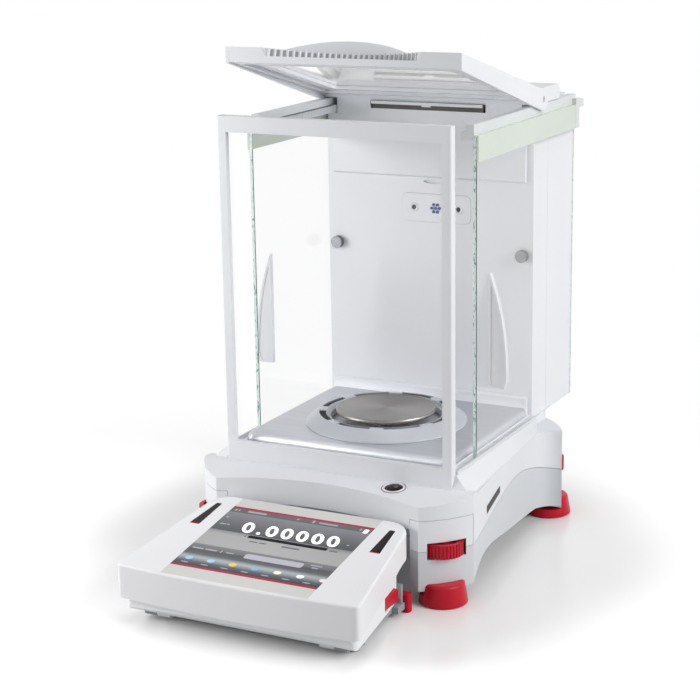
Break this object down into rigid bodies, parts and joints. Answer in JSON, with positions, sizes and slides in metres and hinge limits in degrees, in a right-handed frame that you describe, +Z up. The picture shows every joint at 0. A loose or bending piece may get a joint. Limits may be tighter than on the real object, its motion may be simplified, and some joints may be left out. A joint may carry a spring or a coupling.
{
  "type": "analytical balance",
  "caption": "Analytical balance: weighing pan in a glass draft shield with sliding side doors and a hinged lid, on a waisted base with levelling wheels and a tilting touch terminal.",
  "frame": {"origin": "on the floor, under the middle of the whole balance with its terminal docked", "axes": "+X to the operator's right, +Y from the terminal to the back, +Z up"},
  "size_m": [0.231, 0.424, 0.3999],
  "materials": {
    "white_housing": "fine satin moulding",
    "grey_housing": "fine satin moulding, light grey",
    "cast_chassis": "painted casting",
    "red_moulding": "glossy red moulding",
    "clear_glass": "float glass, polished edges",
    "vial_glass": "tinted fluid vial",
    "level_red": "red collar",
    "steel_plate": "brushed sheet",
    "pan_steel": "circular brushed",
    "turned_steel": "turned and polished",
    "rail_grey": "slick rail moulding",
    "strip_green_white": "translucent capping strip",
    "black_plastic": "fine grain",
    "blue_light": "light guide",
    "sensor_black": "infrared window",
    "touch_film": "hard-coated touch film over a display",
    "release_red": "red moulding",
    "rubber_red": "moulded pads",
    "bracket_grey": "satin bracket",
    "alloy": "machined",
    "board_green": "circuit board with its sockets",
    "motor_metal": "small geared motors"
  },
  "bodies": {
    "base": {"top_cover": "white_housing", "chassis": "cast_chassis", "lower_housing": "grey_housing", "level_holder": "level_red", "level_vial": "vial_glass", "chamber_floor": "steel_plate", "chamber_rim": "white_housing", "door_tracks": "rail_grey", "front_frame": "white_housing", "front_glass": "clear_glass", "tower_front": "white_housing", "tower_rear": "white_housing", "tower_cap": "white_housing", "lid_hinge_pins": "turned_steel", "ioniser_panel": "white_housing", "ioniser_nozzles": "black_plastic", "status_lights": "blue_light", "door_motors": "motor_metal", "docking_bracket": "bracket_grey", "side_sensor_windows": "sensor_black", "base_fasteners": "turned_steel", "load_cell": "alloy", "calibration_motor": "motor_metal", "main_board": "board_green"},
    "left door": {"left_door_glass": "clear_glass", "left_door_strip": "strip_green_white", "left_door_carrier": "rail_grey", "left_door_handle": "white_housing"},
    "left door drive": {"left_door_pinion": "black_plastic"},
    "left thumb screw": {"left_thumb_screw": "turned_steel"},
    "right door": {"right_door_glass": "clear_glass", "right_door_strip": "strip_green_white", "right_door_carrier": "rail_grey", "right_door_handle": "white_housing"},
    "right door drive": {"right_door_pinion": "black_plastic"},
    "right thumb screw": {"right_thumb_screw": "turned_steel"},
    "front left foot": {"front_left_foot": "red_moulding"},
    "front left wheel": {"front_left_wheel": "red_moulding"},
    "front right foot": {"front_right_foot": "red_moulding"},
    "front right wheel": {"front_right_wheel": "red_moulding"},
    "rear left foot": {"rear_left_foot": "red_moulding"},
    "rear left wheel": {"rear_left_wheel": "red_moulding"},
    "rear right foot": {"rear_right_foot": "red_moulding"},
    "rear right wheel": {"rear_right_wheel": "red_moulding"},
    "lid": {"lid_frame": "white_housing", "lid_glass": "clear_glass"},
    "pan": {"weighing_pan": "pan_steel", "pan_support": "turned_steel"},
    "draft ring": {"draft_ring": "white_housing"},
    "terminal stand": {"terminal_stand": "bracket_grey", "stand_rear_pads": "rubber_red"},
    "terminal": {"terminal_upper_shell": "white_housing", "terminal_lower_shell": "grey_housing", "touch_panel": "touch_film", "terminal_sensor_windows": "sensor_black"},
    "left release tab": {"left_release_tab": "release_red"},
    "right release tab": {"right_release_tab": "release_red"},
    "weigh-below cover": {"weigh_below_cover": "grey_housing"},
    "calibration lift": {"calibration_fork": "alloy", "calibration_weight": "turned_steel"}
  },
  "joints": [
    {"name": "left door slide", "type": "slide", "parent": "base", "child": "left door", "axis": [0, 1, 0], "range_m": [-0.0385, 0.113]},
    {"name": "left door drive shaft", "type": "hinge", "parent": "base", "child": "left door drive", "pos_m": [-0.0748, 0.1275, 0.335], "axis": [0, 0, 1], "range_deg": [-1000, 1000]},
    {"name": "left thumb screw turn", "type": "hinge", "parent": "base", "child": "left thumb screw", "pos_m": [-0.0815, 0.1105, 0.2223], "axis": [0, -1, 0], "range_deg": [0, 360]},
    {"name": "right door slide", "type": "slide", "parent": "base", "child": "right door", "axis": [0, 1, 0], "range_m": [-0.0385, 0.113]},
    {"name": "right door drive shaft", "type": "hinge", "parent": "base", "child": "right door drive", "pos_m": [0.0748, 0.1275, 0.335], "axis": [0, 0, 1], "range_deg": [-1000, 1000]},
    {"name": "right thumb screw turn", "type": "hinge", "parent": "base", "child": "right thumb screw", "pos_m": [0.0815, 0.1105, 0.2223], "axis": [0, -1, 0], "range_deg": [0, 360]},
    {"name": "front left foot height", "type": "slide", "parent": "base", "child": "front left foot", "axis": [0, 0, 1], "range_m": [-0.008, 0.0008]},
    {"name": "front left wheel turn", "type": "hinge", "parent": "base", "child": "front left wheel", "pos_m": [-0.095, -0.0735, 0.043], "axis": [0, 0, 1], "range_deg": [-400, 2000]},
    {"name": "front right foot height", "type": "slide", "parent": "base", "child": "front right foot", "axis": [0, 0, 1], "range_m": [-0.008, 0.0008]},
    {"name": "front right wheel turn", "type": "hinge", "parent": "base", "child": "front right wheel", "pos_m": [0.095, -0.0735, 0.043], "axis": [0, 0, 1], "range_deg": [-400, 2000]},
    {"name": "rear left foot height", "type": "slide", "parent": "base", "child": "rear left foot", "axis": [0, 0, 1], "range_m": [-0.008, 0.0008]},
    {"name": "rear left wheel turn", "type": "hinge", "parent": "base", "child": "rear left wheel", "pos_m": [-0.095, 0.1345, 0.043], "axis": [0, 0, 1], "range_deg": [-400, 2000]},
    {"name": "rear right foot height", "type": "slide", "parent": "base", "child": "rear right foot", "axis": [0, 0, 1], "range_m": [-0.008, 0.0008]},
    {"name": "rear right wheel turn", "type": "hinge", "parent": "base", "child": "rear right wheel", "pos_m": [0.095, 0.1345, 0.043], "axis": [0, 0, 1], "range_deg": [-400, 2000]},
    {"name": "lid hinge", "type": "hinge", "parent": "base", "child": "lid", "pos_m": [0, 0.1205, 0.3463], "axis": [-1, 0, 0], "range_deg": [-14.7, 70]},
    {"name": "pan lift", "type": "slide", "parent": "base", "child": "pan", "axis": [0, 0, 1], "range_m": [0, 0.03]},
    {"name": "draft ring lift", "type": "slide", "parent": "base", "child": "draft ring", "axis": [0, 0, 1], "range_m": [0, 0.03]},
    {"name": "terminal undocking", "type": "slide", "parent": "base", "child": "terminal stand", "axis": [0, -1, 0], "range_m": [0, 0.036]},
    {"name": "terminal tilt", "type": "hinge", "parent": "terminal stand", "child": "terminal", "pos_m": [-0.003, -0.194, 0.006], "axis": [1, 0, 0], "range_deg": [0, 12]},
    {"name": "left release press", "type": "slide", "parent": "terminal", "child": "left release tab", "axis": [1, 0, 0], "range_m": [0, 0.0022], "stiffness_N_per_m": 800},
    {"name": "right release press", "type": "slide", "parent": "terminal", "child": "right release tab", "axis": [-1, 0, 0], "range_m": [0, 0.0022], "stiffness_N_per_m": 800},
    {"name": "weigh-below cover turn", "type": "hinge", "parent": "base", "child": "weigh-below cover", "pos_m": [0.017, 0.0305, 0.023], "axis": [0, 0, 1], "range_deg": [0, 100]},
    {"name": "calibration lift travel", "type": "slide", "parent": "base", "child": "calibration lift", "axis": [0, 0, 1], "range_m": [0, 0.004]}
  ],
  "couplings": [
    {"joint": "left door drive shaft", "follows": "left door slide", "rad_per_m": -125},
    {"joint": "right door drive shaft", "follows": "right door slide", "rad_per_m": 125},
    {"joint": "front left wheel turn", "follows": "front left foot height", "rad_per_m": -4188.8},
    {"joint": "front right wheel turn", "follows": "front right foot height", "rad_per_m": -4188.8},
    {"joint": "rear left wheel turn", "follows": "rear left foot height", "rad_per_m": -4188.8},
    {"joint": "rear right wheel turn", "follows": "rear right foot height", "rad_per_m": -4188.8}
  ]
}
